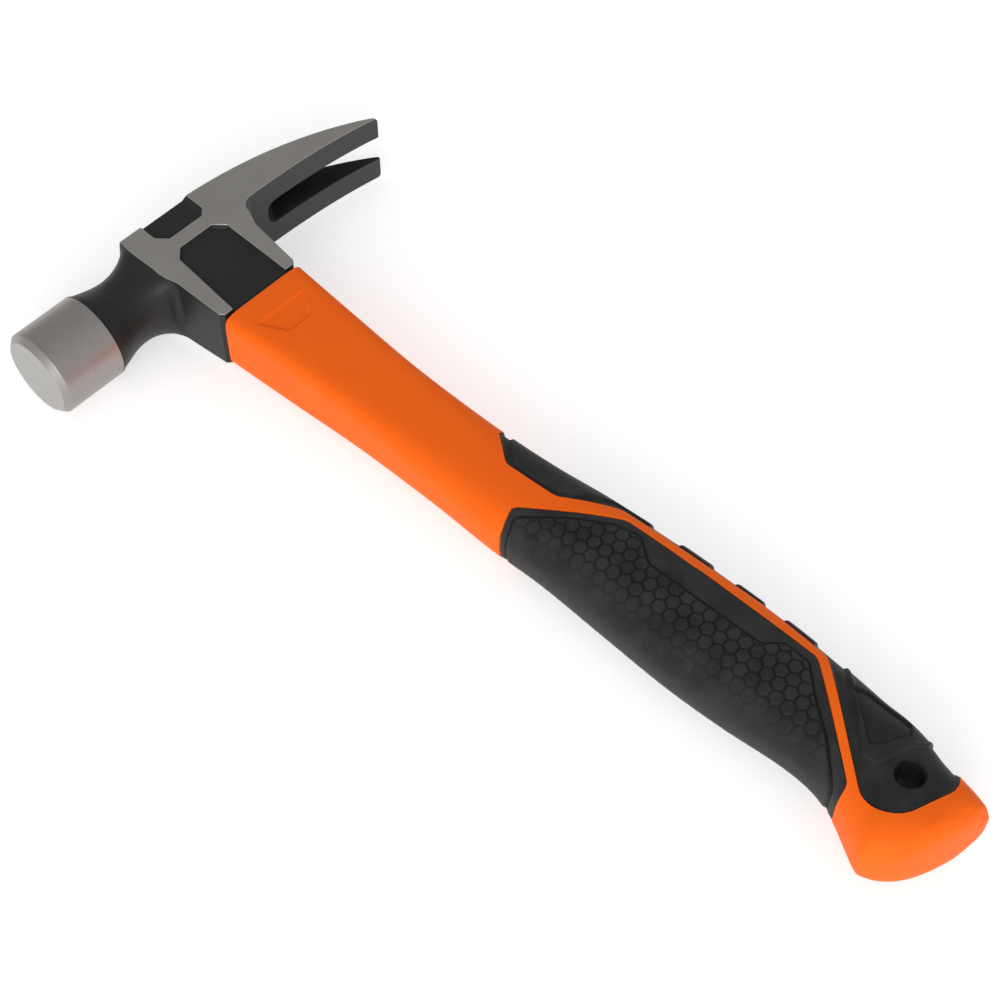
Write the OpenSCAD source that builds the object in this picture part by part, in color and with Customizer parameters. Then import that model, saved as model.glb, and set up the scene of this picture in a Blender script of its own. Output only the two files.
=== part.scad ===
// Claw hammer with a forged straight-claw head on a fibreglass-cored handle.
// The hammer lies on its side: +X points to the claws, +Y to the top of the head,
// +Z out of the upper cheek. The origin is the middle of its lowest plane.

/* [Head] */
// Length of the head from striking face to claw tips
head_len = 144.5; // [140:0.5:148]
// Diameter of the poll
poll_d = 29.5; // [29:0.1:30]
// Length of the poll's turned cylinder
poll_len = 23.6; // [20:0.2:26]
// Length of the chamfer round the striking face
face_chamfer = 2; // [1:0.25:3]
// Thickness across the cheeks and the claws
cheek_t = 28.4; // [28:0.1:29]
// Height of the head's flat top above the axis of the poll
head_rise = 13.3; // [13:0.1:14]
// Depth of the unground recesses in the cheeks
recess_depth = 1.2; // [0.6:0.1:1.6]

/* [Claws] */
// Width of the nail slot on the underside of the claws
slot_w = 9.8; // [8:0.2:10.4]
// Width of the nail slot's narrow end on the outer side
slot_root_w = 1.4; // [1:0.2:2.4]

/* [Eye] */
// Length of the eye along the head
eye_l = 21; // [20:0.5:22]
// Width of the eye across the head
eye_w = 16; // [15:0.5:17]
// Length of the core's section along the head
core_l = 16; // [14:0.5:17]
// Width of the core's section across the head
core_w = 11.5; // [10:0.5:12.5]

/* [Handle] */
// Overall length from the top of the poll to the end of the butt
overall_len = 323; // [323:0.5:326]
// Thickness of the rubber grips
grip_t = 2.4; // [1.8:0.1:2.8]
// Diameter of the hanging hole
hole_d = 8.9; // [7:0.1:10]
// Thickness of the rubber lining in the hanging hole
lining_t = 2.2; // [1.6:0.1:2.6]
// Radius of the rounding round the end of the butt
butt_round = 9; // [7:0.5:10]

/* [Hidden] */

$fn = 64;
poll_r = poll_d / 2;
cheek_h = cheek_t / 2;
far = 60;
ring_n = 40;
ring_step = 8;
bead_inset = 0.8;
lining_inset = 0.6;
thin = 0.01;

// Places along the head, from the striking face, and along the handle, from the poll's axis
axis_x = 67.2;
socket_y = -32.4;
jacket_y = -33;
butt_y = poll_r - overall_len;
core_top_y = 9;
core_end_y = -250;
plug_top_y = head_rise - 1;
taper_y = -3;
socket_h = 12;
hole_at = [70, -286.5];
core_foot_y = 0;

// Butt: the front edge runs from the heel round into the end, the back edge is straight
heel_y = -290;
butt_edge = [[45, heel_y], [46.5, -302], [74, butt_y]];
butt_back = [83.5, 79];
heel_t = 14;
butt_square = 3;

// Claw outline: the outer side falls from the flat top to the tips, the underside is almost straight
claw_top = [[77, head_rise], [115, 11.2], [head_len - 0.5, -6]];
claw_under = [[head_len, -7], [122, -2.2], [90.5, -2.4]];
root_r = 4.3;
root_x = claw_under[2].x;
root_at = [root_x, claw_under[2].y - root_r];

// Cheek outline below the claws, from the back of the eye round the socket to the front
socket_edge = [[84, -12], [83, -24], [82.5, -31], [81, socket_y], [52, socket_y], [50.5, -31]];
slab_x = 48;

// Recesses in the cheeks: one open to the socket, one open to the top of the head
lower_recess = [[60, -2.5], [73.5, -2.5], [77, -6], [79, -far], [54, -far], [56.5, -6]];
upper_recess = [[57, far], [57, 7], [59, 4], [61.5, 3], [73, 3], [76, 5.5], [76, far]];

// Nail slot: its root on the underside and on the outer side, and the heights between which it narrows
slot_root_under = 97;
slot_root_outer = 107;
slot_under_y = -3;
slot_outer_y = 6;
slot_tip_share = 0.92;

// Rings of the neck: distance from the face, centre height, half height, half thickness, squareness
NECK = [
    [poll_len - 3, 0, 14, 14, 2],
    [poll_len + 0.5, 0, 14, 14, 2],
    [27.5, 0.1, 13.2, 13.2, 2],
    [31.5, 0.3, 12.1, 12.1, 2.1],
    [35.5, 0.4, 11.4, 11.6, 2.2],
    [39.5, 0.5, 11.3, 11.8, 2.4],
    [43.5, 0.6, 11.8, 12.5, 2.9],
    [46.5, 0.7, 12.35, 13.4, 4],
    [49, 0.7, 12.4, 13.9, 6],
    [54, 0.7, 12.3, 13.85, 6]
];

// Sections of the handle: place along it, front edge, back edge, half thickness, squareness
HANDLE = concat(
    [
        [jacket_y, 50.5, 83.5, 11.5, 8],
        [-60, 52, 82, 11.5, 6.5],
        [-90, 53.5, 81, 11, 5],
        [-120, 53.5, 82, 11, 3.5],
        [-145, 53, 84, 11.5, 3],
        [-165, 53.5, 87, 12.5, 2.5],
        [-190, 53, 89, 13, 2.5],
        [-215, 52.5, 90, 13, 2.5],
        [-235, 53.5, 90, 13, 2.5],
        [-255, 55.5, 89, 12.5, 2.5],
        [-267, 55, 88, 12.5, 2.5],
        [-276, 52.5, 87, 13, 3],
        [-284, 48, 85.5, 13.5, 3]
    ],
    [for (p = bezier(butt_edge, 8)) butt_row(p)]
);

// Outlines of the two grips seen from the side; both run past the handle's edges
FRONT_ZONE = [
    [30, -149.5], [54, -149.5], [61, -147.5], [80.5, -175.5],
    [82, -205], [82.5, -245], [56.5, -276], [30, -276.5]
];
REAR_ZONE = concat(
    [[110, -121], [79, -125], [71, -135.5], [72, -155], [83, -172],
     [84.5, -196], [86, -221.5], [85, -246.5]],
    arc([65, -285], 10, 137, 247, 10),
    [[73, -298.5], [77, -298], [86, -293], [110, -289]]
);

// Section of the butt where its front edge is at p, thinner where it rounds over into the end
function butt_row(p) =
    let (d = max(butt_round - (p.y - butt_y), 0), along = (heel_y - p.y) / (heel_y - butt_y))
    [p.y, p.x, butt_back[0] + (butt_back[1] - butt_back[0]) * along,
     heel_t - butt_round + sqrt(butt_round * butt_round - d * d), butt_square];

function arc(c, r, a0, a1, n) = [
    for (i = [0 : n]) let (a = a0 + (a1 - a0) * i / n) c + r * [cos(a), sin(a)]
];

function bezier(p, n) = [
    for (i = [0 : n]) let (t = i / n) (1 - t) * (1 - t) * p[0] + 2 * t * (1 - t) * p[1] + t * t * p[2]
];

// One point of a rounded rectangle with half sides a and b, where k is its squareness
function rounded(a, b, k, t) = [
    a * sign(cos(t)) * pow(abs(cos(t)), 2 / k),
    b * sign(sin(t)) * pow(abs(sin(t)), 2 / k)
];

// Section of the handle at y, blended smoothly between the rows of HANDLE
function slope(i) =
    let (a = HANDLE[max(i - 1, 0)], b = HANDLE[min(i + 1, len(HANDLE) - 1)])
    (b - a) / (b[0] - a[0]);
function row_above(y, i = 0) = i >= len(HANDLE) - 2 || y > HANDLE[i + 1][0] ? i : row_above(y, i + 1);
function section(y) =
    let (i = row_above(y), p = HANDLE[i], q = HANDLE[i + 1], h = q[0] - p[0], t = (y - p[0]) / h)
    (2 * t * t * t - 3 * t * t + 1) * p + (t * t * t - 2 * t * t + t) * h * slope(i)
    + (3 * t * t - 2 * t * t * t) * q + (t * t * t - t * t) * h * slope(i + 1);

// Ring of points round the handle at y, moved inwards by inset
function handle_ring(y, inset) =
    let (s = section(y), a = (s[2] - s[1]) / 2 - inset, c = (s[1] + s[2]) / 2)
    [for (i = [0 : ring_n - 1])
        let (p = rounded(a, s[3] - inset, s[4], -360 * i / ring_n))
        [c + p.x, y, p.y]];

// Ring of points round the neck
function neck_ring(s) = [
    for (i = [0 : ring_n - 1]) let (p = rounded(s[2], s[3], s[4], -360 * i / ring_n)) [s[0], s[1] + p.x, p.y]
];

// Ring of the resin bead at y, a little smaller than the jacket's end
function bead_ring(y) = [for (p = handle_ring(jacket_y, bead_inset)) [p.x, y, p.z]];

// Solid through a list of rings that all have the same number of points
module loft(rings) {
    n = len(rings[0]);
    last = (len(rings) - 1) * n;
    polyhedron(
        points = [for (r = rings) each r],
        faces = concat(
            [[for (j = [n - 1 : -1 : 0]) j]],
            [for (i = [0 : len(rings) - 2], j = [0 : n - 1])
                each [
                    [i * n + j, i * n + (j + 1) % n, (i + 1) * n + j],
                    [i * n + (j + 1) % n, (i + 1) * n + (j + 1) % n, (i + 1) * n + j]
                ]],
            [[for (j = [0 : n - 1]) last + j]]
        )
    );
}

// Puts the head's own axes, measured from the striking face, into the frame of the part
module placed() {
    translate([-head_len / 2, overall_len / 2 - poll_r, poll_r]) children();
}

// Joins everything inside into one closed skin of facets, at the same size
module as_skin() {
    resize([0, 0, 0]) children();
}

// Slot-shaped bar that runs along the handle's axis from y0 up to y1
module bar(l, w, y0, y1) {
    rotate([90, 0, 0])
        translate([axis_x, 0, -y1])
            linear_extrude(y1 - y0)
                union() {
                    square([l - w, w], center = true);
                    for (s = [-1, 1]) translate([s * (l - w) / 2, 0]) circle(d = w);
                }
}

// Cheeks and claws as one slab of half thickness h, narrower towards the socket
module slab(h) {
    difference() {
        linear_extrude(2 * h, center = true)
            polygon(concat(
                [[slab_x, head_rise]],
                bezier(claw_top, 16),
                bezier(claw_under, 8),
                arc(root_at, root_r, 100, 180, 6),
                socket_edge
            ));
        for (s = [-1, 1])
            rotate([90, 0, 90])
                linear_extrude(far * 2)
                    polygon([
                        [taper_y, s * h], [taper_y, s * far], [-far, s * far],
                        [-far, s * (h - (cheek_h - socket_h) * (far + taper_y) / (taper_y - socket_y))]
                    ]);
    }
}

// Recesses that the grinding of the cheeks leaves dark
module recesses() {
    difference() {
        linear_extrude(far, center = true) {
            polygon(lower_recess);
            polygon(upper_recess);
        }
        slab(cheek_h - recess_depth);
    }
}

// Nail slot: full width on the underside, closing to a V on the outer side
module nail_slot() {
    rotate([90, 0, 0]) {
        translate([0, 0, -slot_under_y]) linear_extrude(far) under_outline();
        hull() {
            translate([0, 0, -slot_under_y]) linear_extrude(thin) under_outline();
            translate([0, 0, -slot_outer_y]) linear_extrude(thin) outer_outline();
        }
        translate([0, 0, -slot_outer_y - far]) linear_extrude(far) outer_outline();
    }
}

module under_outline() {
    slot_outline(slot_w, slot_w, slot_root_under);
}

module outer_outline() {
    slot_outline(slot_root_w, slot_w * slot_tip_share, slot_root_outer);
}

// Outline of the slot, as wide as root_w at its rounded root and tip_w beyond the tips
module slot_outline(root_w, tip_w, root) {
    reach = head_len + 4;
    shoulder = root + root_w / 5;
    polygon([
        [root, -root_w / 3], [shoulder, -root_w / 2], [reach, -tip_w / 2],
        [reach, tip_w / 2], [shoulder, root_w / 2], [root, root_w / 3]
    ]);
}

module head() {
    color("dimgray") placed() {
        difference() {
            as_skin() {
                difference() {
                    union() {
                        rotate([0, 90, 0]) {
                            cylinder(h = face_chamfer, r1 = poll_r - face_chamfer, r2 = poll_r);
                            translate([0, 0, face_chamfer]) cylinder(h = poll_len - face_chamfer, r = poll_r);
                        }
                        loft([for (s = NECK) neck_ring(s)]);
                        slab(cheek_h);
                    }
                    recesses();
                    nail_slot();
                }
            }
            bar(eye_l, eye_w, -far, far);
        }
    }
}

module fibreglass_core() {
    color("wheat") placed() bar(core_l, core_w, core_end_y, core_top_y);
}

// Cast resin in the eye, with the thin bead that it leaves between head and handle
module eye_epoxy() {
    color("black") placed() {
        difference() {
            union() {
                bar(eye_l, eye_w, socket_y, plug_top_y);
                loft([for (y = [socket_y, jacket_y]) bead_ring(y)]);
            }
            bar(core_l, core_w, -far, core_top_y);
        }
    }
}

// Outside of jacket and grips together, or the surface that lies inset below it
module handle_skin(inset) {
    loft([
        for (y = [jacket_y : -ring_step : heel_y + ring_step / 2]) handle_ring(y, inset),
        for (p = bezier(butt_edge, 8)) handle_ring(p.y, inset)
    ]);
}

// Space of a grip: the outermost layer of the handle inside the grip's outline
module grip_layer(zone) {
    difference() {
        intersection() {
            handle_skin(0);
            linear_extrude(far, center = true) polygon(zone);
        }
        handle_skin(grip_t);
    }
}

module handle_jacket() {
    color("orangered") placed() {
        difference() {
            as_skin() {
                difference() {
                    handle_skin(0);
                    difference() {
                        linear_extrude(far, center = true) {
                            polygon(FRONT_ZONE);
                            polygon(REAR_ZONE);
                        }
                        handle_skin(grip_t);
                    }
                }
            }
            bar(core_l, core_w, core_end_y, core_foot_y);
            translate(hole_at) cylinder(h = far, d = hole_d + 2 * lining_t, center = true);
        }
    }
}

module front_grip() {
    color("dimgray") placed() as_skin() grip_layer(FRONT_ZONE);
}

module rear_grip() {
    color("dimgray") placed() {
        difference() {
            as_skin() {
                grip_layer(REAR_ZONE);
                intersection() {
                    handle_skin(lining_inset);
                    translate(hole_at) cylinder(h = far, d = hole_d + 2 * lining_t, center = true);
                }
            }
            translate(hole_at) cylinder(h = far, d = hole_d, center = true);
        }
    }
}

head();
fibreglass_core();
eye_epoxy();
handle_jacket();
front_grip();
rear_grip();
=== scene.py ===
"""A claw hammer with a fibreglass-cored handle, lying on its side on a pale floor.

Lengths are millimetres in the hammer's own axes: x from the striking face to the claws,
y from the poll's axis up to the top of the head, z out of the upper cheek.
placed() turns them into metres in the row frame.
"""

import math

import bpy
import numpy as np
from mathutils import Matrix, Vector


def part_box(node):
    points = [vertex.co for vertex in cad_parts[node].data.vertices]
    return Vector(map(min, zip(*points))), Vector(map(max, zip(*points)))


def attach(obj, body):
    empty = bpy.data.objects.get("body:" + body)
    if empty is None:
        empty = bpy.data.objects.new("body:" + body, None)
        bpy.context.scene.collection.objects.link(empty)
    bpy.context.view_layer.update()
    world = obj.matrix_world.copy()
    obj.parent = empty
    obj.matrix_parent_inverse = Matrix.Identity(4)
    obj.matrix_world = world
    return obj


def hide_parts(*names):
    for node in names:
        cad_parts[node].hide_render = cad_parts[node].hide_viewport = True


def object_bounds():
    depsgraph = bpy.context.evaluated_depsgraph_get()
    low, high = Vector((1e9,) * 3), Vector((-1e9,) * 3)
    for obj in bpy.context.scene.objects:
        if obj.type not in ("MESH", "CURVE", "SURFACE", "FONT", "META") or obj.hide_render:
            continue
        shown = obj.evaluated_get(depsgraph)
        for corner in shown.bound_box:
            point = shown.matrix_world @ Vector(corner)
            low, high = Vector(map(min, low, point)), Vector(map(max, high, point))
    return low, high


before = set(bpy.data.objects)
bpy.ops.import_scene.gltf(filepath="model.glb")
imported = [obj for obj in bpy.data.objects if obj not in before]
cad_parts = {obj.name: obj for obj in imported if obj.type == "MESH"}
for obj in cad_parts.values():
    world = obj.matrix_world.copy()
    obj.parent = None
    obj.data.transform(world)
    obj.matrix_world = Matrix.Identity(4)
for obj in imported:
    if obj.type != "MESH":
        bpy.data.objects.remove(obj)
CAD_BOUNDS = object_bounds()

HEAD_LOW, HEAD_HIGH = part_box("head")
HEAD_LEN = (HEAD_HIGH.x - HEAD_LOW.x) * 1000
POLL_R = (HEAD_HIGH.z - HEAD_LOW.z) * 500
ORIGIN = np.array([HEAD_LOW.x, HEAD_HIGH.y - POLL_R / 1000, HEAD_HIGH.z - POLL_R / 1000])
BUTT_Y = (CAD_BOUNDS[0].y - ORIGIN[1]) * 1000

# Spacing of the points in the meshes
HEAD_STEP = 0.36
HANDLE_STEP = 0.4

# Head: its cheeks are ground from GROUND_FROM on and taper from TAPER_Y to the socket,
# and EYE is the length and width of its eye
HEAD_RISE = 13.3
POLL_LEN = 23.6
FACE_CHAMFER = 2.0
CHEEK_H = 14.2
SOCKET_H = 12.0
TAPER_Y = -3.0
SOCKET_Y = -32.4
AXIS_X = 67.2
EYE = (21.0, 16.0)
RECESS_DEPTH = 1.2
TIP_BEVEL = 1.6
GROUND_FROM = 44
NECK_BLEND = 2.6

# Upper recess in the cheek: its front, back and lower walls
UPPER_FRONT = 56.8
UPPER_BACK = 76.6
UPPER_FOOT = 2.7

# Neck: distance from the face, centre height, half height, half thickness, squareness
NECK = np.array([
    [POLL_LEN - 3, 0, 14.3, 14.3, 2],
    [POLL_LEN + 0.5, 0, 14.2, 14.2, 2],
    [27.5, 0.1, 13.3, 13.3, 2],
    [31.5, 0.3, 12.1, 12.1, 2.1],
    [35.5, 0.4, 11.4, 11.6, 2.2],
    [39.5, 0.5, 11.3, 11.8, 2.4],
    [43.5, 0.6, 11.8, 12.5, 2.9],
    [46.5, 0.7, 12.35, 13.4, 4],
    [49, 0.7, 12.4, 13.9, 6],
    [54, 0.7, 12.3, 13.85, 6],
])
NECK_START = NECK[0, 0]
NECK_END = NECK[-1, 0]

# Root of the claws: where their underside ends, and the fillet under it
ROOT_X = 90.5
ROOT_Y = -2.4
ROOT_R = 4.3

# Nail slot: half width below, half width on the outer side along x, root below and on the
# outer side, and the radius of the lower corners
SLOT_UNDER = 4.9
SLOT_OUTER = [(107, 0.7), (132, 3.3), (141, 4.2), (HEAD_LEN, 4.6)]
SLOT_ROOT = (97, 107)
SLOT_CORNER = 3.4

# Butt: the front edge runs from the heel round into the end, the back edge is straight
HEEL_Y = -290
HEEL_T = 14
BUTT_EDGE = [(45, HEEL_Y), (46.5, -302), (74, BUTT_Y)]
BUTT_BACK = (83.5, 79)
BUTT_ROUND = 9
BUTT_SQUARE = 3


def arc(centre, radius, start, end, count):
    """Points along an arc, with the angles in degrees."""
    angles = np.radians(np.linspace(start, end, count))
    return [(centre[0] + radius * math.cos(a), centre[1] + radius * math.sin(a)) for a in angles]


def bezier(p, count):
    """Points along a quadratic curve."""
    t = np.linspace(0, 1, count)[:, None]
    p = np.asarray(p, float)
    return [tuple(q) for q in (1 - t)**2 * p[0] + 2 * t * (1 - t) * p[1] + t * t * p[2]]


def butt_row(x, y):
    """Section of the butt with its front edge at (x, y), thinner where it rounds over into the end."""
    rounding = max(BUTT_ROUND - (y - BUTT_Y), 0)
    along = (HEEL_Y - y) / (HEEL_Y - BUTT_Y)
    back = BUTT_BACK[0] + (BUTT_BACK[1] - BUTT_BACK[0]) * along
    return [y, x, back, HEEL_T - BUTT_ROUND + math.sqrt(BUTT_ROUND**2 - rounding**2), BUTT_SQUARE]


# Top end of the handle, thickness of the grips, and half the handle's girth
JACKET_Y = -33.0
GRIP_T = 2.4
HALF_GIRTH = 46

# Handle: place along it, front edge, back edge, half thickness, squareness
HANDLE = np.array([
    [JACKET_Y, 50.5, 83.5, 11.5, 8],
    [-60, 52, 82, 11.5, 6.5],
    [-90, 53.5, 81, 11, 5],
    [-120, 53.5, 82, 11, 3.5],
    [-145, 53, 84, 11.5, 3],
    [-165, 53.5, 87, 12.5, 2.5],
    [-190, 53, 89, 13, 2.5],
    [-215, 52.5, 90, 13, 2.5],
    [-235, 53.5, 90, 13, 2.5],
    [-255, 55.5, 89, 12.5, 2.5],
    [-267, 55, 88, 12.5, 2.5],
    [-276, 52.5, 87, 13, 3],
    [-284, 48, 85.5, 13.5, 3],
    *[butt_row(x, y) for x, y in bezier(BUTT_EDGE, 9)],
])
HOLE_AT = (70, -286.5)
HOLE_R = 4.45
LINING_T = 2.2

# Outlines of the grips and of the relief on them, seen from the side
FRONT_ZONE = [
    (30, -149.5), (54, -149.5), (61, -147.5), (80.5, -175.5),
    (82, -205), (82.5, -245), (56.5, -276), (30, -276.5),
]
REAR_ZONE = [
    (110, -121), (79, -125), (71, -135.5), (72, -155), (83, -172),
    (84.5, -196), (86, -221.5), (85, -246.5),
    *arc((65, -285), 10, 137, 247, 11),
    (73, -298.5), (77, -298), (86, -293), (110, -289),
]
PALM_PANEL = [
    (30, -152), (54, -152), (59, -150.5), (69, -163), (76.5, -174.5), (78.5, -182.5), (72.5, -190.5),
    (74, -231), (79, -236), (79, -244.5), (71, -253), (64, -262.5), (54, -273), (30, -273),
]
THUMB_PANEL = [
    (110, -127), (80, -128.5), (72.5, -136.5), (72.5, -144.5), (73.5, -153.5), (84.5, -168),
    (85.5, -180.5), (110, -181.5),
]
RIBS = [(-191, -203), (-211.5, -222), (-229.5, -241.5)]
HEEL_PANEL = [(110, -249), (87.5, -251.5), (65.5, -273), (65.5, -278), (77, -282), (81, -285), (110, -285)]
HEEL_WINDOW = [(82, -257.5), (69.5, -272.5), (71, -275), (80.5, -280), (84.5, -277.5), (85, -262)]
JACKET_RELIEF = [(56.5, -42), (76, -42), (71, -51.5), (61.5, -51.5)]

# Honeycomb on the palm grip: distance between cells and the centre of one of them
HEX_PITCH = 4.3
HEX_CENTRE = (60, -200)

# Depths of the relief, and the radius of the grips' outer edges
EDGE_R = 0.45
RIM_DEPTH = 0.25
BORDER_DEPTH = 0.6
SEAM_DEPTH = 0.5
BACK_DEPTH = 0.2
RIB_HEIGHT = 0.7
HEEL_DEPTH = 0.35
WINDOW_DEPTH = 0.9
JACKET_DEPTH = 0.5


# ---------------------------------------------------------------- numbers

FAR = 1e9


def placed(points):
    """Millimetres in the hammer's axes to metres in the row frame."""
    return np.asarray(points) / 1000 + ORIGIN


def blend_rows(rows, at):
    """The rows' values at given places, by cubic Hermite between neighbouring rows."""
    place = rows[:, 0]
    slopes = np.empty_like(rows)
    for i in range(len(rows)):
        before, after = rows[max(i - 1, 0)], rows[min(i + 1, len(rows) - 1)]
        slopes[i] = (after - before) / (after[0] - before[0])
    sign = np.sign(place[1] - place[0])
    i = np.clip(np.searchsorted(sign * place, sign * np.asarray(at), side="right") - 1, 0, len(rows) - 2)
    span = place[i + 1] - place[i]
    t = np.clip((at - place[i]) / span, 0, 1)[..., None]
    span = span[..., None]
    return (
        (2 * t**3 - 3 * t**2 + 1) * rows[i] + (t**3 - 2 * t**2 + t) * span * slopes[i]
        + (3 * t**2 - 2 * t**3) * rows[i + 1] + (t**3 - t**2) * span * slopes[i + 1]
    )


def softened(points, radius, keep=()):
    """The outline with each corner replaced by a short curve that starts radius before it."""
    out, n = [], len(points)
    for i, p in enumerate(np.asarray(points, float)):
        if i in keep:
            out.append(tuple(p))
            continue
        before, after = np.asarray(points[i - 1], float), np.asarray(points[(i + 1) % n], float)
        lengths = [np.linalg.norm(q - p) for q in (before, after)]
        ends = [p + (q - p) * min(radius, 0.45 * l) / l for q, l in zip((before, after), lengths)]
        for t in np.linspace(0, 1, 5):
            out.append(tuple((1 - t)**2 * ends[0] + 2 * t * (1 - t) * p + t * t * ends[1]))
    return out


def outline_distance(points, x, y):
    """Signed distance to a closed outline, negative inside."""
    nearest = np.full(np.broadcast(x, y).shape, FAR)
    inside = np.zeros(nearest.shape, bool)
    for (ax, ay), (bx, by) in zip(points, points[1:] + points[:1]):
        ex, ey = bx - ax, by - ay
        wx, wy = x - ax, y - ay
        t = np.clip((wx * ex + wy * ey) / (ex * ex + ey * ey), 0, 1)
        nearest = np.minimum(nearest, (wx - t * ex)**2 + (wy - t * ey)**2)
        if ay != by:
            inside ^= ((ay > y) != (by > y)) & (x < ax + (y - ay) * ex / (by - ay))
    return np.where(inside, -1, 1) * np.sqrt(nearest)


def ramp(value, low, high):
    """0 below low, 1 above high and smooth between them."""
    t = np.clip((value - low) / (high - low), 0, 1)
    return t * t * (3 - 2 * t)


def smooth_min(a, b, k):
    """The smaller value, blended where the two are within k of each other."""
    h = np.clip(0.5 + 0.5 * (b - a) / k, 0, 1)
    return b + (a - b) * h - k * h * (1 - h)


def smooth_max(a, b, k):
    return -smooth_min(-a, -b, k)


# ---------------------------------------------------------------- meshes

def new_object(name, verts, faces, body="root"):
    """A smooth-shaded piece from points in millimetres."""
    mesh = bpy.data.meshes.new(name)
    verts, faces = placed(verts), np.asarray(faces, np.int32)
    mesh.from_pydata([], [], [])
    mesh.vertices.add(len(verts))
    mesh.vertices.foreach_set("co", verts.astype(np.float32).ravel())
    corners = faces.shape[1]
    mesh.loops.add(faces.size)
    mesh.loops.foreach_set("vertex_index", faces.ravel())
    mesh.polygons.add(len(faces))
    mesh.polygons.foreach_set("loop_start", np.arange(0, faces.size, corners, dtype=np.int32))
    mesh.update(calc_edges=True)
    mesh.polygons.foreach_set("use_smooth", np.ones(len(faces), bool))
    obj = bpy.data.objects.new(name, mesh)
    bpy.context.scene.collection.objects.link(obj)
    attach(obj, body)
    return obj


def add_values(obj, name, values):
    """A number for each point, which the piece's material reads by name."""
    attribute = obj.data.attributes.new(name, "FLOAT", "POINT")
    attribute.data.foreach_set("value", np.asarray(values, np.float32))


def surface_net(field, low, high, step):
    """Quads on the zero surface of a field that is symmetric in z.

    Each cell that the surface crosses gets one point, which is then moved onto the surface itself.
    """
    x = np.arange(low[0] - 1.5 * step, high[0] + 2 * step, step)
    y = np.arange(low[1] - 1.5 * step, high[1] + 2 * step, step)
    z = np.arange(0.5 * step, high[2] + 2 * step, step)
    half = np.concatenate([
        field(part[:, None, None], y[None, :, None], z[None, None, :]).astype(np.float32)
        for part in np.array_split(x, 8)
    ])
    values = np.concatenate([half[:, :, ::-1], half], axis=2)
    z = np.concatenate([-z[::-1], z])
    solid = values < 0
    total = np.zeros([n - 1 for n in values.shape] + [3], np.float32)
    count = np.zeros(total.shape[:3], np.float32)
    cell = np.arange(count.size).reshape(count.shape)
    quads = []
    for axis in range(3):
        a = [slice(None)] * 3
        b = [slice(None)] * 3
        a[axis], b[axis] = slice(0, -1), slice(1, None)
        va, vb, sa, sb = values[tuple(a)], values[tuple(b)], solid[tuple(a)], solid[tuple(b)]
        at = np.argwhere(sa != sb)
        ia = tuple(at.T)
        t = va[ia] / (va[ia] - vb[ia])
        u, v = (axis + 1) % 3, (axis + 2) % 3
        inner = np.all(at[:, [u, v]] > 0, axis=1)
        inner &= (at[:, u] < count.shape[u]) & (at[:, v] < count.shape[v])
        at, t, filled = at[inner], t[inner], sa[ia][inner]
        point = at.astype(np.float32)
        point[:, axis] += t
        around = []
        for du, dv in ((-1, -1), (0, -1), (0, 0), (-1, 0)):
            c = at.copy()
            c[:, u] += du
            c[:, v] += dv
            np.add.at(total, tuple(c.T), point)
            np.add.at(count, tuple(c.T), 1)
            around.append(cell[tuple(c.T)])
        quad = np.stack(around, axis=1)
        quad[~filled] = quad[~filled][:, ::-1]
        quads.append(quad)
    quads = np.concatenate(quads)
    used = np.flatnonzero(count.ravel() > 0)
    renumber = np.zeros(count.size, np.int64)
    renumber[used] = np.arange(len(used))
    points = total.reshape(-1, 3)[used] / count.reshape(-1, 1)[used]
    points = points * step + np.array([x[0], y[0], z[0]])
    for _ in range(3):
        value, slope = field(*points.T), gradient(field, points)
        move = -(value / np.maximum((slope**2).sum(1), 0.2))[:, None] * slope
        size = np.linalg.norm(move, axis=1, keepdims=True)
        points = points + move * np.minimum(1, 0.35 * step / np.maximum(size, 1e-9))
    return points, renumber[quads]


def gradient(field, points, d=0.03):
    """Slope of the field at each point, by central differences."""
    out = np.empty_like(points)
    for axis in range(3):
        shift = np.zeros(3)
        shift[axis] = d
        out[:, axis] = (field(*(points + shift).T) - field(*(points - shift).T)) / (2 * d)
    return out


# ---------------------------------------------------------------- head

CLAW_TOP = bezier([(77, HEAD_RISE), (115, 11.2), (HEAD_LEN - 0.5, -6)], 24)
CLAW_UNDER = bezier([(HEAD_LEN, -7), (122, -2.2), (ROOT_X, ROOT_Y)], 12)
HEAD_OUTLINE = [
    (48, HEAD_RISE), *CLAW_TOP, *CLAW_UNDER, *arc((ROOT_X, ROOT_Y - ROOT_R), ROOT_R, 100, 180, 10),
    (84, -12), (83, -24), (82.5, -31), (81, SOCKET_Y), (52, SOCKET_Y), (50.5, -31),
]
LOWER_RECESS = softened(
    [(60, -2.5), (73.5, -2.5), (77, -6), (79, -60), (54, -60), (56.5, -6)], 0.5)


def cheek_height(y):
    """Half thickness of the ground cheeks, which taper towards the socket."""
    return CHEEK_H - np.clip(TAPER_Y - y, 0, None) * (CHEEK_H - SOCKET_H) / (TAPER_Y - SOCKET_Y)


def recess_depth(x, y):
    """How far the cheeks' unground recesses lie below the ground surface."""
    lower = np.clip(-2.2 * outline_distance(LOWER_RECESS, x, y), 0, RECESS_DEPTH)
    front, back, foot = x - UPPER_FRONT, UPPER_BACK - x, y - UPPER_FOOT
    front_corner = front + 0.9 * foot - 3.4
    back_corner = back + foot - 2.6
    upper = 1.6 * front
    for wall_depth in (0.55 * back, 1.4 * foot, 1.2 * front_corner, 0.9 * back_corner):
        upper = smooth_min(upper, wall_depth, 0.3)
    return np.maximum(lower, np.clip(upper, 0, RECESS_DEPTH))


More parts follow.
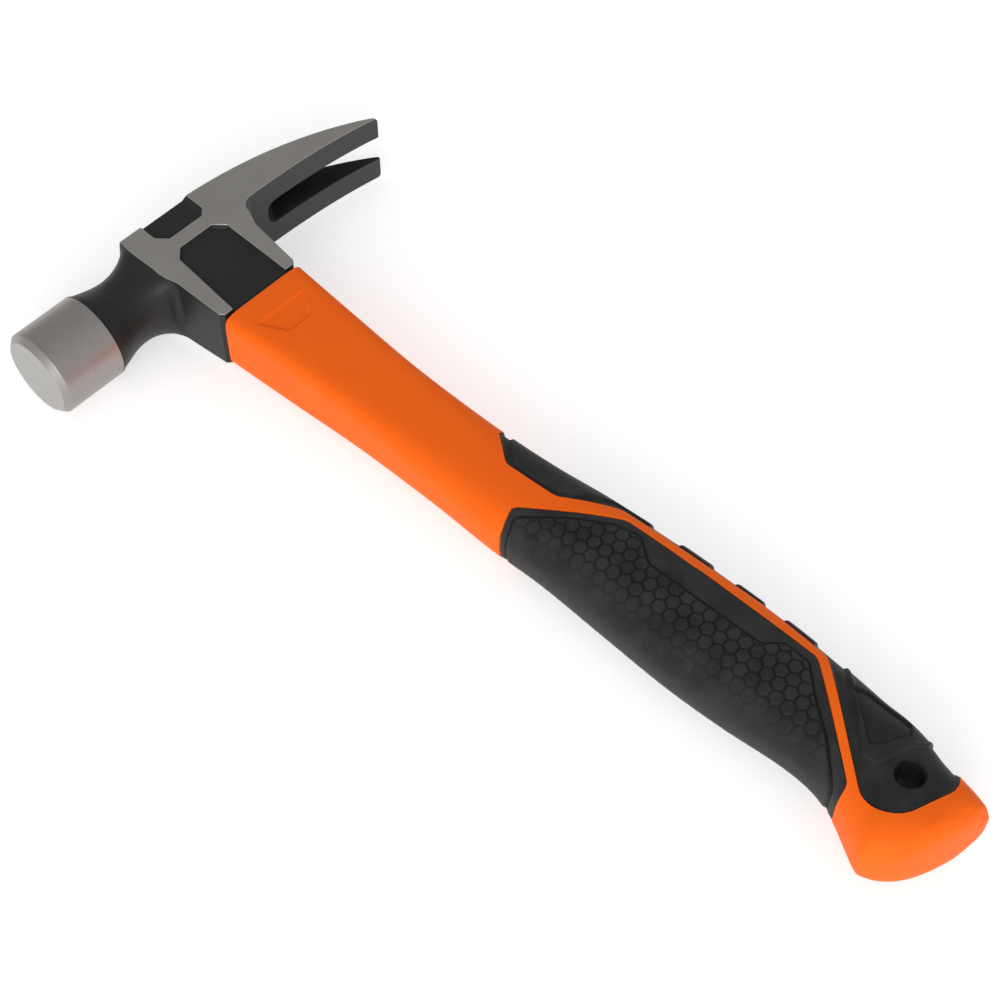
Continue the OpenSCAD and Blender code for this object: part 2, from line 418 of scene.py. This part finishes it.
def slot_distance(x, y, z):
    """Distance to the nail slot, which is full width below and closes to a V on the outer side."""
    tops, unders = np.array(CLAW_TOP), np.array(CLAW_UNDER)[::-1]
    top = np.interp(x, tops[:, 0], tops[:, 1])
    under = np.interp(x, unders[:, 0], unders[:, 1])
    t = np.clip((y - under) / np.maximum(top - under, 0.5), -0.3, 1.3)
    outer = np.interp(x, *np.transpose(SLOT_OUTER))
    wide = SLOT_UNDER + (outer - SLOT_UNDER) * t
    root = SLOT_ROOT[0] + (SLOT_ROOT[1] - SLOT_ROOT[0]) * t
    soft = np.clip(SLOT_CORNER * (1 - t), 0.5, SLOT_CORNER)
    qx = root - x + soft
    qz = np.abs(z) - wide + soft
    return np.minimum(np.maximum(qx, qz), 0) + np.hypot(np.maximum(qx, 0), np.maximum(qz, 0)) - soft


def head_field(x, y, z):
    """Signed distance to the forged head, without its eye filling."""
    side = np.abs(z)
    r = np.hypot(y, z)
    poll = np.maximum(np.maximum(r - POLL_R, -x), x - POLL_LEN)
    poll = np.maximum(poll, (r - POLL_R - x + FACE_CHAMFER) * math.sqrt(0.5))
    rows = blend_rows(NECK, x)
    squareness = rows[..., 4]
    ring = (np.abs((y - rows[..., 1]) / rows[..., 2])**squareness + (side / rows[..., 3])**squareness)
    neck = (ring**(1 / squareness) - 1) * np.minimum(rows[..., 2], rows[..., 3])
    neck = np.maximum(neck, np.maximum(NECK_START - x, x - NECK_END))
    outline = outline_distance(HEAD_OUTLINE, x, y)
    forged = smooth_min(neck, smooth_max(outline, side - CHEEK_H - 2, 0.6), NECK_BLEND)
    cheek = (side - cheek_height(y) + recess_depth(x, y)) * 0.9
    forged = smooth_max(forged, cheek, 0.45)
    tip = (x - HEAD_LEN + 0.8 * (side - CHEEK_H + TIP_BEVEL)) * 0.78
    forged = smooth_max(forged, tip, 0.3)
    forged = smooth_max(forged, -slot_distance(x, y, z), 0.35)
    body = np.minimum(poll, forged)
    flat = np.abs(x - AXIS_X) - (EYE[0] - EYE[1]) / 2
    eye = np.hypot(np.maximum(flat, 0), z) - EYE[1] / 2
    return smooth_max(body, -eye, 0.25)


def make_head():
    """The head with two values for its colour: slot marks the nail slot, whose walls the material paints
    near black as painted shade, and under marks the faces of the claws' underside that turn towards the
    handle, which it paints lighter as painted light.
    """
    low = (0, SOCKET_Y, 0)
    points, quads = surface_net(head_field, low, (HEAD_LEN, POLL_R, POLL_R), HEAD_STEP)
    points = np.clip(points, [0, SOCKET_Y - 0.1, -POLL_R], [HEAD_LEN, POLL_R, POLL_R])
    head = new_object("forged_head", points, quads)
    normals = gradient(head_field, points, 0.06)
    normals /= np.maximum(np.linalg.norm(normals, axis=1, keepdims=True), 1e-6)
    head.data.normals_split_custom_set_from_vertices(normals.tolist())
    x, y, z = points.T
    # Painted shade: the slot value makes the material paint the nail slot's walls near black.
    near_slot = (np.abs(z) < 2 * SLOT_UNDER) & (x > SLOT_ROOT[0] - 3)
    slot = np.where(near_slot, 0.35 - slot_distance(x, y, z), -1)
    add_values(head, "slot", np.clip(slot, -1, 1))
    # Painted light: faces of the claws that turn towards the handle get a lighter colour in the material.
    under = np.where((x > 86) & (y < 4) & (normals[:, 1] < -0.35), 1.0, 0.0)
    add_values(head, "under", under)
    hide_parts("head")
    return head


# ---------------------------------------------------------------- handle

class HandleGrid:
    """A fine grid over the outside of the handle, whose lines are pulled onto the pieces' outlines."""

    def __init__(self):
        y = self.ring_places()
        rows = blend_rows(HANDLE, y)
        self.half = int(round(HALF_GIRTH / HANDLE_STEP))
        angle = np.linspace(0, math.pi, 721)
        x_all, z_all = [], []
        for _, front, back, thick, square in rows:
            a, c = (back - front) / 2, (back + front) / 2
            reach = np.abs(np.cos(angle) / a)**square + np.abs(np.sin(angle) / thick)**square
            reach = reach**(-1 / square)
            px, pz = c + reach * np.cos(angle), reach * np.sin(angle)
            length = np.concatenate([[0], np.cumsum(np.hypot(np.diff(px), np.diff(pz)))])
            even = np.linspace(0, length[-1], self.half + 1)
            x_all.append(np.interp(even, length, px))
            z_all.append(np.interp(even, length, pz))
        y_all = np.repeat(y[:, None], self.half + 1, 1)
        self.base = np.stack([np.array(x_all), y_all, np.array(z_all)], axis=2)
        self.base[:, [0, -1], 2] = 0
        self.points = self.base.copy()
        self.free = np.ones(self.base.shape[:2], bool)

    @staticmethod
    def ring_places():
        """Places of the rings, evenly spaced on the outside, so closer where the butt curves in."""
        fine = np.linspace(JACKET_Y, BUTT_Y, 6000)
        rows = blend_rows(HANDLE, fine)
        steps = np.abs(np.diff(rows[:, [0, 1, 2, 3]], axis=0))
        length = np.concatenate([[0], np.cumsum(np.hypot(steps[:, 0], steps[:, 1:].max(axis=1)))])
        count = int(round(length[-1] / HANDLE_STEP))
        return np.interp(np.linspace(0, length[-1], count), length, fine)

    def pull(self, distance):
        """Moves the grid points nearest to a contour onto it."""
        f = distance(self.points[..., 0], self.points[..., 1])
        fj, fi = np.gradient(f)
        fi[:, [0, -1]] = 0
        scale = np.maximum(fi * fi + fj * fj, 1e-9)
        dj, di = -f * fj / scale, -f * fi / scale
        near = self.free & (np.hypot(dj, di) < 0.55)
        rows, cols = np.nonzero(near)
        j = np.clip(rows + dj[near], 0, self.base.shape[0] - 1.001)
        i = np.clip(cols + di[near], 0, self.base.shape[1] - 1.001)
        self.points[rows, cols] = self.at(j, i)
        f = distance(self.points[..., 0], self.points[..., 1])
        self.free &= ~(near & (np.abs(f) < 0.12))

    def at(self, j, i):
        """Points of the even grid at fractional rows and columns."""
        j0, i0 = j.astype(int), i.astype(int)
        tj, ti = (j - j0)[:, None], (i - i0)[:, None]
        b = self.base
        return ((1 - tj) * ((1 - ti) * b[j0, i0] + ti * b[j0, i0 + 1])
                + tj * ((1 - ti) * b[j0 + 1, i0] + ti * b[j0 + 1, i0 + 1]))

    @staticmethod
    def corners(grid):
        """The values at the four corners of every cell of a grid whose columns run round the handle."""
        following = np.roll(grid, -1, axis=1)
        return grid[:-1], following[:-1], following[1:], grid[1:]

    def close(self):
        """Mirrors the half grid into the whole skin and divides it into triangles."""
        normal = np.cross(np.gradient(self.points, axis=1), np.gradient(self.points, axis=0))
        normal[:, [0, -1], 2] = 0
        normal /= np.maximum(np.linalg.norm(normal, axis=2, keepdims=True), 1e-9)
        if (normal[..., 0] * (self.points[..., 0] - AXIS_X)).mean() < 0:
            normal = -normal
        flip = np.array([1, 1, -1])
        self.skin = np.concatenate([self.points, (self.points * flip)[:, -2:0:-1]], axis=1)
        self.normal = np.concatenate([normal, (normal * flip)[:, -2:0:-1]], axis=1)
        rows, around = self.skin.shape[:2]
        index = np.arange(rows * around).reshape(rows, around)
        self.twin = np.roll(index[:, ::-1], 1, axis=1).ravel()
        pulled = ~np.concatenate([self.free, self.free[:, -2:0:-1]], axis=1)
        quads = np.stack([corner.ravel() for corner in self.corners(index)], axis=1)
        a, b, c, d = self.corners(pulled)
        use_bd = (b & d & ~(a & c)).ravel()
        first = np.where(use_bd[:, None], quads[:, [0, 1, 3]], quads[:, [0, 1, 2]])
        second = np.where(use_bd[:, None], quads[:, [1, 2, 3]], quads[:, [0, 2, 3]])
        self.tris = np.concatenate([first, second])
        self.skin = self.skin.reshape(-1, 3)
        self.normal = self.normal.reshape(-1, 3)
        self.rings = index
        middle = self.skin[self.tris].mean(axis=1)
        towards = np.cross(self.skin[self.tris[:, 1]] - self.skin[self.tris[:, 0]],
                           self.skin[self.tris[:, 2]] - self.skin[self.tris[:, 0]])
        if (towards[:, 2] * middle[:, 2]).sum() < 0:
            self.tris = self.tris[:, ::-1]


def loose_edges(tris):
    """Directed edges that only one triangle has."""
    edges = np.concatenate([tris[:, [0, 1]], tris[:, [1, 2]], tris[:, [2, 0]]])
    size = int(edges.max()) + 1
    forward = edges[:, 0] * size + edges[:, 1]
    backward = edges[:, 1] * size + edges[:, 0]
    return edges[~np.isin(forward, backward)]


def rounded_edge(distance, radius):
    """Depth below the surface at a distance inside a rounded edge."""
    d = np.clip(distance, 0, radius)
    return radius - np.sqrt(np.maximum(radius**2 - (radius - d)**2, 0))


def front_zone(x, y):
    """Distance outward from the outline of the palm grip."""
    return outline_distance(FRONT_LINE, x, y)


def rear_zone(x, y):
    """Distance outward from the outline of the back grip."""
    return outline_distance(REAR_LINE, x, y)


def hole(x, y, radius=HOLE_R):
    """Distance outward from the hanging hole's wall, or from another circle round its axis."""
    return np.hypot(x - HOLE_AT[0], y - HOLE_AT[1]) - radius


def lining(x, y):
    """Distance outward from the outside of the hole's rubber lining."""
    return hole(x, y, HOLE_R + LINING_T)


FRONT_LINE = softened(FRONT_ZONE, 1.6)
REAR_LINE = softened(REAR_ZONE, 1.6)
PALM_LINE = softened(PALM_PANEL, 1.2)
THUMB_LINE = softened(THUMB_PANEL, 1.5)
HEEL_LINE = softened(HEEL_PANEL, 0.8)
WINDOW_LINE = softened(HEEL_WINDOW, 0.8)
RELIEF_LINE = softened(JACKET_RELIEF, 0.9)


def hexagons(x, y):
    """Distance inward from the edge of the nearest hexagonal cell."""
    across = HEX_PITCH * math.sqrt(3) / 2
    best = np.full(x.shape, FAR)
    for shift in (0, 1):
        px = (x - HEX_CENTRE[0]) / across - shift
        col = np.round(px / 2) * 2
        py = (y - HEX_CENTRE[1]) / HEX_PITCH - 0.5 * shift
        row = np.round(py)
        dx, dy = (px - col) * across, (py - row) * HEX_PITCH
        reach = np.maximum(np.abs(dy), np.abs(dx) * math.sqrt(3) / 2 + np.abs(dy) / 2)
        best = np.minimum(best, reach)
    return HEX_PITCH / 2 - best


def front_relief(points):
    """Depth of the palm grip's surface below the handle's outside, and a value from 0 to 1 for the painted
    shade in its grooves.
    """
    x, y = points[:, 0], points[:, 1]
    rows = blend_rows(HANDLE, y)
    edge = -front_zone(x, y)
    panel = -outline_distance(PALM_LINE, x, y)
    share = (x - rows[:, 1]) / (rows[:, 2] - rows[:, 1])
    border = np.exp(-(panel / EDGE_R)**2)
    seam = (1 - ramp(hexagons(x, y), 0.1, 0.55)) * ramp(share, -0.05, 0.4) * ramp(panel, 0.3, 0.9)
    raised = 0.5 * rounded_edge(np.clip(panel, 0, None), 0.7)
    rim = RIM_DEPTH + rounded_edge(edge, EDGE_R)
    depth = np.where(panel > 0, raised, rim)
    # Painted shade: the border groove and the seams between the cells are darkened through this value.
    return depth + BORDER_DEPTH * border + SEAM_DEPTH * seam, np.maximum(border, 0.8 * seam)


def rear_relief(points):
    """The same for the back grip, with its thumb pad, ribs, heel pad and the window in that."""
    x, y = points[:, 0], points[:, 1]
    edge = -rear_zone(x, y)
    thumb = ramp(-outline_distance(THUMB_LINE, x, y), -0.1, 0.8)
    rib = sum(ramp(y, low - 0.2, low + 1) * ramp(-y, -high - 0.2, -high + 1) for high, low in RIBS)
    heel_edge = -outline_distance(HEEL_LINE, x, y)
    window_edge = -outline_distance(WINDOW_LINE, x, y)
    window = ramp(window_edge, 0, 0.6)
    pads = np.maximum(np.maximum(thumb, rib * ramp(edge, 0.8, 1.6)), ramp(heel_edge, -0.1, 0.6))
    depth = BACK_DEPTH + rounded_edge(edge, EDGE_R) + RIB_HEIGHT * ramp(edge, 0.2, 1.2) * (1 - pads)
    depth += WINDOW_DEPTH * window - BACK_DEPTH * pads * ramp(edge, 0, 1) + rounded_edge(hole(x, y), 0.8)
    depth += HEEL_DEPTH * ramp(heel_edge, 1.2, 1.8)
    # Painted shade: darkened along the heel window's groove and inside the hanging hole.
    painted_shade = np.exp(-((window_edge - 0.5) / 0.4)**2)
    painted_shade = np.maximum(painted_shade, ramp(-hole(x, y), -0.25, 0))
    return np.maximum(depth, 0), painted_shade


def jacket_depth(points):
    """Depth of the jacket's surface below the handle's outside, which is more under the grips."""
    x, y = points[:, 0], points[:, 1]
    depth = rounded_edge(JACKET_Y - y, EDGE_R)
    depth += JACKET_DEPTH * ramp(-outline_distance(RELIEF_LINE, x, y), -0.1, 0.55)
    covered = np.minimum(front_zone(x, y), rear_zone(x, y)) < -0.02
    return np.where(covered, GRIP_T + 0.02, depth)


def grip(name, grid, zone, relief, node, pierced=False):
    """A closed rubber grip: relief outside, smooth inside, walls round its outline and its hole."""
    middle = grid.skin[grid.tris].mean(axis=1)
    keep = zone(middle[:, 0], middle[:, 1]) < 0
    outside = grid.tris[keep & (hole(middle[:, 0], middle[:, 1]) > 0)] if pierced else grid.tris[keep]
    inside = grid.tris[keep & (lining(middle[:, 0], middle[:, 1]) > 0)] if pierced else grid.tris[keep]
    n = len(grid.skin)
    depth, painted_shade = np.zeros(n), np.zeros(2 * n)
    used = np.unique(outside)
    depth[used], painted_shade[used] = relief(grid.skin[used])
    outer = grid.skin - grid.normal * depth[:, None]
    inner = grid.skin - grid.normal * GRIP_T
    in_hole = hole(grid.skin[:, 0], grid.skin[:, 1], HOLE_R + LINING_T + 1) < 0
    faces = [outside, inside[:, ::-1] + n]
    for edges, offset in ((loose_edges(outside), 0), (loose_edges(inside), n)):
        a, b = edges.T
        tube = in_hole[a] & in_hole[b] if pierced else np.zeros(len(a), bool)
        if offset == 0:
            faces += wall(b[~tube], a[~tube], a[~tube] + n, b[~tube] + n)
        top = tube & (grid.skin[a][:, 2] > 0)
        a, b = a[top], b[top]
        ta, tb = grid.twin[a], grid.twin[b]
        faces += wall(b, a, ta, tb) if offset == 0 else wall(a + n, b + n, tb + n, ta + n)
    verts = np.concatenate([outer, inner])
    return finish_piece(name, verts, np.concatenate(faces), node, painted_shade=painted_shade)


def wall(a, b, c, d):
    """Two triangles for each quad a, b, c, d."""
    return [np.stack([a, b, c], axis=1), np.stack([a, c, d], axis=1)]


def finish_piece(name, verts, tris, node, angle=32, painted_shade=None):
    """Drops the unused points and makes the piece that stands for the CAD node."""
    used, renumbered = np.unique(tris, return_inverse=True)
    piece = new_object(name, verts[used], renumbered.reshape(tris.shape))
    piece.data.set_sharp_from_angle(angle=math.radians(angle))
    # Values for the painted shade in the rubber's grooves and hanging hole.
    if painted_shade is not None:
        add_values(piece, "painted_shade", painted_shade[used])
    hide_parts(node)
    return piece


def make_jacket(grid):
    """The orange moulding, closed at both ends, with a wall right through round the hole's lining."""
    middle = grid.skin[grid.tris].mean(axis=1)
    tris = grid.tris[lining(middle[:, 0], middle[:, 1]) > 0]
    verts = grid.skin - grid.normal * jacket_depth(grid.skin)[:, None]
    verts[:, 1] = np.maximum(verts[:, 1], BUTT_Y)
    a, b = loose_edges(tris).T
    rings = [grid.rings[0], grid.rings[-1]]
    faces = [tris]
    n = len(verts)
    centres = np.array([verts[r].mean(axis=0) for r in rings])
    for k, ring in enumerate(rings):
        rim = np.isin(a, ring) & np.isin(b, ring)
        faces.append(np.stack([b[rim], a[rim], np.full(rim.sum(), n + k)], axis=1))
    tube = (lining(grid.skin[a][:, 0], grid.skin[a][:, 1]) < 1) & (grid.skin[a][:, 2] > 0)
    a, b = a[tube], b[tube]
    faces += wall(b, a, grid.twin[a], grid.twin[b])
    verts = np.concatenate([verts, centres])
    return finish_piece("handle_jacket_moulding", verts, np.concatenate(faces), "handle_jacket",
                        angle=40)


def make_handle():
    """The jacket and the two grips, cut from one skin so that they meet exactly."""
    grid = HandleGrid()
    for contour in (front_zone, rear_zone, hole, lining):
        grid.pull(contour)
    grid.close()
    jacket = make_jacket(grid)
    front = grip("palm_grip", grid, front_zone, front_relief, "front_grip")
    rear = grip("back_grip", grid, rear_zone, rear_relief, "rear_grip", pierced=True)
    return jacket, front, rear


# ---------------------------------------------------------------- materials

class Nodes:
    """A new material and short calls that add linked shader nodes to it."""

    def __init__(self, name):
        self.material = bpy.data.materials.new(name)
        self.material.use_nodes = True
        self.tree = self.material.node_tree
        self.shader = self.tree.nodes["Principled BSDF"]
        self.place = self.add("ShaderNodeTexCoord").outputs["Object"]

    def add(self, kind, **settings):
        node = self.tree.nodes.new(kind)
        for key, value in settings.items():
            setattr(node, key, value)
        return node

    def link(self, source, target):
        if isinstance(source, (int, float, tuple)):
            target.default_value = source
        else:
            self.tree.links.new(source, target)

    def math(self, operation, *values, clamp=False):
        node = self.add("ShaderNodeMath", operation=operation, use_clamp=clamp)
        for value, socket in zip(values, node.inputs):
            self.link(value, socket)
        return node.outputs[0]

    def noise(self, scale, detail=3.0, stretch=None):
        """Noise from 0 to 1, with scale in cycles per metre."""
        place = self.place
        if stretch:
            mapping = self.add("ShaderNodeMapping")
            self.link(place, mapping.inputs["Vector"])
            mapping.inputs["Scale"].default_value = stretch
            place = mapping.outputs[0]
        node = self.add("ShaderNodeTexNoise")
        self.link(place, node.inputs["Vector"])
        node.inputs["Scale"].default_value = scale
        node.inputs["Detail"].default_value = detail
        node.inputs["Roughness"].default_value = 0.55
        return node.outputs["Fac"]

    def millimetres(self):
        """The point's x, y and z in the hammer's axes."""
        split = self.add("ShaderNodeSeparateXYZ")
        self.link(self.place, split.inputs[0])
        return [self.math("MULTIPLY_ADD", out, 1000.0, float(-1000 * start))
                for out, start in zip(split.outputs, ORIGIN)]

    def values(self, name):
        """The piece's own values of that name."""
        return self.add("ShaderNodeAttribute", attribute_name=name).outputs["Fac"]

    def step(self, value, low, high, to_low=0.0, to_high=1.0):
        """Smooth change from to_low to to_high as the value goes from low to high."""
        node = self.add("ShaderNodeMapRange", interpolation_type="SMOOTHSTEP")
        for v, socket in zip((value, low, high, to_low, to_high), node.inputs):
            self.link(v, socket)
        return node.outputs[0]

    def mix(self, factor, a, b):
        node = self.add("ShaderNodeMix", data_type="RGBA")
        self.link(factor, node.inputs[0])
        self.link(a, node.inputs[6])
        self.link(b, node.inputs[7])
        return node.outputs[2]

    def mix_value(self, factor, a, b):
        node = self.add("ShaderNodeMix", data_type="FLOAT")
        self.link(factor, node.inputs[0])
        self.link(a, node.inputs[2])
        self.link(b, node.inputs[3])
        return node.outputs[0]

    def bump(self, height, distance, strength=1.0):
        node = self.add("ShaderNodeBump")
        self.link(height, node.inputs["Height"])
        node.inputs["Distance"].default_value = distance
        node.inputs["Strength"].default_value = strength
        self.link(node.outputs[0], self.shader.inputs["Normal"])

    def set(self, **sockets):
        """Fills the shader's sockets and returns the finished material."""
        for name, value in sockets.items():
            self.link(value, self.shader.inputs[name.replace("_", " ")])
        return self.material


def rgb(code):
    """Linear colour of an sRGB hex code."""
    parts = [int(code[i:i + 2], 16) / 255 for i in (0, 2, 4)]
    return tuple(p / 12.92 if p <= 0.04045 else ((p + 0.055) / 1.055)**2.4 for p in parts) + (1.0,)


def steel_material():
    """Black forged steel, with the turned poll and the ground cheeks bright."""
    m = Nodes("forged_steel_finish")
    x, y, z = m.millimetres()
    turned = m.step(x, POLL_LEN - 0.75, POLL_LEN - 0.65, 1, 0)
    face = m.step(x, 0.05, 0.15, 1, 0)
    fall = m.math("MAXIMUM", m.math("SUBTRACT", TAPER_Y, y), 0.0)
    slope = (CHEEK_H - SOCKET_H) / (TAPER_Y - SOCKET_Y)
    cheek_level = m.math("MULTIPLY_ADD", fall, -slope, CHEEK_H)
    above = m.math("SUBTRACT", m.math("ABSOLUTE", z), cheek_level)
    ground = m.math("MULTIPLY", m.step(above, -0.22, -0.12), m.step(x, GROUND_FROM - 0.1, GROUND_FROM + 0.1))
    # Painted shade: this mask paints the nail slot near black.
    slot = m.step(m.values("slot"), 0, 0.2)
    # Painted light: this mask marks the claws' faces turned towards the handle.
    under = m.values("under")
    grain = m.noise(900, 4)
    lathe = m.noise(260, 5, (14, 1, 1))
    cloud = m.noise(45, 3)
    forged = m.mix(cloud, rgb("19191A"), rgb("252526"))
    # Painted light: the claws' faces turned towards the handle are painted lighter.
    forged = m.mix(under, forged, rgb("343434"))
    # Painted shade: the nail slot's walls are painted near black.
    forged = m.mix(slot, forged, rgb("080808"))
    cheek = m.mix(m.noise(70, 4, (1, 1.6, 1)), rgb("9D9A96"), rgb("ACA9A4"))
    bright = m.mix(lathe, rgb("918D8A"), rgb("ABA7A4"))
    bright = m.mix(face, bright, rgb("AEACA9"))
    colour = m.mix(ground, forged, cheek)
    colour = m.mix(turned, colour, bright)
    shine = m.math("MAXIMUM", ground, turned)
    rough = m.mix_value(ground, m.mix_value(cloud, 0.42, 0.5), m.mix_value(grain, 0.4, 0.5))
    rough = m.mix_value(turned, rough, m.mix_value(lathe, 0.36, 0.46))
    metal = m.mix_value(shine, 0.0, 1.0)
    height = m.mix_value(turned, m.mix_value(0.5, grain, cloud), lathe)
    m.bump(height, 0.00003, 0.5)
    return m.set(Base_Color=colour, Roughness=rough, Metallic=metal, Specular_IOR_Level=0.3)


def orange_material():
    m = Nodes("orange_moulding")
    mottle = m.noise(60, 3)
    grain = m.noise(1500, 2)
    colour = m.mix(mottle, rgb("F66212"), rgb("F96D1C"))
    m.bump(grain, 0.00002, 0.35)
    return m.set(Base_Color=colour, Roughness=m.mix_value(mottle, 0.45, 0.55), Specular_IOR_Level=0.08)


def rubber_material():
    m = Nodes("grip_rubber_finish")
    mottle = m.step(m.noise(120, 6), 0.35, 0.68)
    grain = m.noise(1400, 3)
    colour = m.mix(mottle, rgb("1E1E1E"), rgb("2D2D2D"))
    # Painted shade: near black in the grooves, along the heel window and inside the hanging hole.
    colour = m.mix(m.values("painted_shade"), colour, rgb("060606"))
    m.bump(grain, 0.00005, 0.5)
    return m.set(Base_Color=colour, Roughness=m.mix_value(mottle, 0.55, 0.7), Specular_IOR_Level=0.22,
                 Sheen_Weight=0.06)


def fibreglass_material():
    m = Nodes("fibreglass_finish")
    strands = m.noise(900, 4, (1, 0.04, 1))
    colour = m.mix(strands, rgb("C9B37A"), rgb("E4D6AA"))
    m.bump(strands, 0.00004, 0.4)
    return m.set(Base_Color=colour, Roughness=0.5)


def epoxy_material():
    m = Nodes("epoxy_finish")
    cloud = m.noise(200, 3)
    colour = m.mix(cloud, rgb("0B0B0C"), rgb("1A1A1C"))
    m.bump(cloud, 0.0001, 0.3)
    return m.set(Base_Color=colour, Roughness=m.mix_value(cloud, 0.22, 0.34))


def paint(obj, material):
    obj.data.materials.clear()
    obj.data.materials.append(material)


# ---------------------------------------------------------------- studio

# Camera: place and viewing direction in the hammer's axes, focal length and sensor width
CAMERA_AT = (-200.77, -390.81, 520.49)
CAMERA_TOWARDS = (0.4184, 0.3967, -0.8170)
LENS = 76.12
SENSOR = 36

# Floor, in metres: half its side, and how far it lies below the hammer
FLOOR_HALF = 40.0
FLOOR_GAP = 0.0002

# Surroundings: the direction in which they are brightest, and their lowest and highest strength
BRIGHT_SIDE = (-0.69, -0.69, -0.2)
DIM, BRIGHT = 0.5, 0.78


def make_camera():
    data = bpy.data.cameras.new("camera")
    data.lens = LENS
    data.sensor_width = SENSOR
    camera = bpy.data.objects.new("camera", data)
    bpy.context.scene.collection.objects.link(camera)
    camera.location = placed(CAMERA_AT)
    camera.rotation_mode = "QUATERNION"
    camera.rotation_quaternion = Vector(CAMERA_TOWARDS).to_track_quat("-Z", "Y")
    bpy.context.scene.camera = camera


def area_light(name, place, target, size, power):
    data = bpy.data.lights.new(name, "AREA")
    data.shape = "RECTANGLE"
    data.size, data.size_y = size
    data.energy = power
    light = bpy.data.objects.new(name, data)
    light.location = place
    light.rotation_mode = "QUATERNION"
    light.rotation_quaternion = (Vector(target) - Vector(place)).to_track_quat("-Z", "Y")
    bpy.context.scene.collection.objects.link(light)


def make_world():
    """Soft surroundings: bright behind the camera and dim above the far side."""
    world = bpy.data.worlds.new("studio")
    world.use_nodes = True
    tree = world.node_tree
    direction = tree.nodes.new("ShaderNodeTexCoord").outputs["Generated"]
    front = tree.nodes.new("ShaderNodeVectorMath")
    front.operation = "DOT_PRODUCT"
    front.inputs[1].default_value = BRIGHT_SIDE
    tree.links.new(direction, front.inputs[0])
    level = tree.nodes.new("ShaderNodeMapRange")
    level.interpolation_type = "SMOOTHSTEP"
    for value, socket in zip((-0.75, 0.75, DIM, BRIGHT), list(level.inputs)[1:]):
        socket.default_value = value
    tree.links.new(front.outputs["Value"], level.inputs[0])
    tree.links.new(level.outputs[0], tree.nodes["Background"].inputs["Strength"])
    tree.nodes["Background"].inputs["Color"].default_value = (1, 1, 1, 1)
    bpy.context.scene.world = world


def make_studio():
    """A pale paper floor just below the hammer, soft surroundings and one large lamp."""
    mesh = bpy.data.meshes.new("floor")
    low = CAD_BOUNDS[0].z - FLOOR_GAP
    corners = [(sx * FLOOR_HALF, sy * FLOOR_HALF, low) for sx, sy in ((-1, -1), (1, -1), (1, 1), (-1, 1))]
    mesh.from_pydata(corners, [], [(0, 1, 2, 3)])
    floor = bpy.data.objects.new("floor", mesh)
    bpy.context.scene.collection.objects.link(floor)
    m = Nodes("floor_paper")
    paper = m.mix(m.noise(6, 2), (0.75, 0.75, 0.75, 1), (0.77, 0.77, 0.77, 1))
    paint(floor, m.set(Base_Color=paper, Roughness=0.9, Emission_Color=(1, 1, 1, 1), Emission_Strength=0.5))
    make_world()
    area_light("key", (-1.1, -0.75, 0.65), (0, 0, 0), (0.9, 0.9), 10.5)
    bpy.context.scene.view_settings.view_transform = "Standard"


# ---------------------------------------------------------------- the scene

make_camera()
make_studio()
paint(make_head(), steel_material())
jacket, front, rear = make_handle()
paint(jacket, orange_material())
rubber = rubber_material()
paint(front, rubber)
paint(rear, rubber)
paint(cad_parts["fibreglass_core"], fibreglass_material())
paint(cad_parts["eye_epoxy"], epoxy_material())
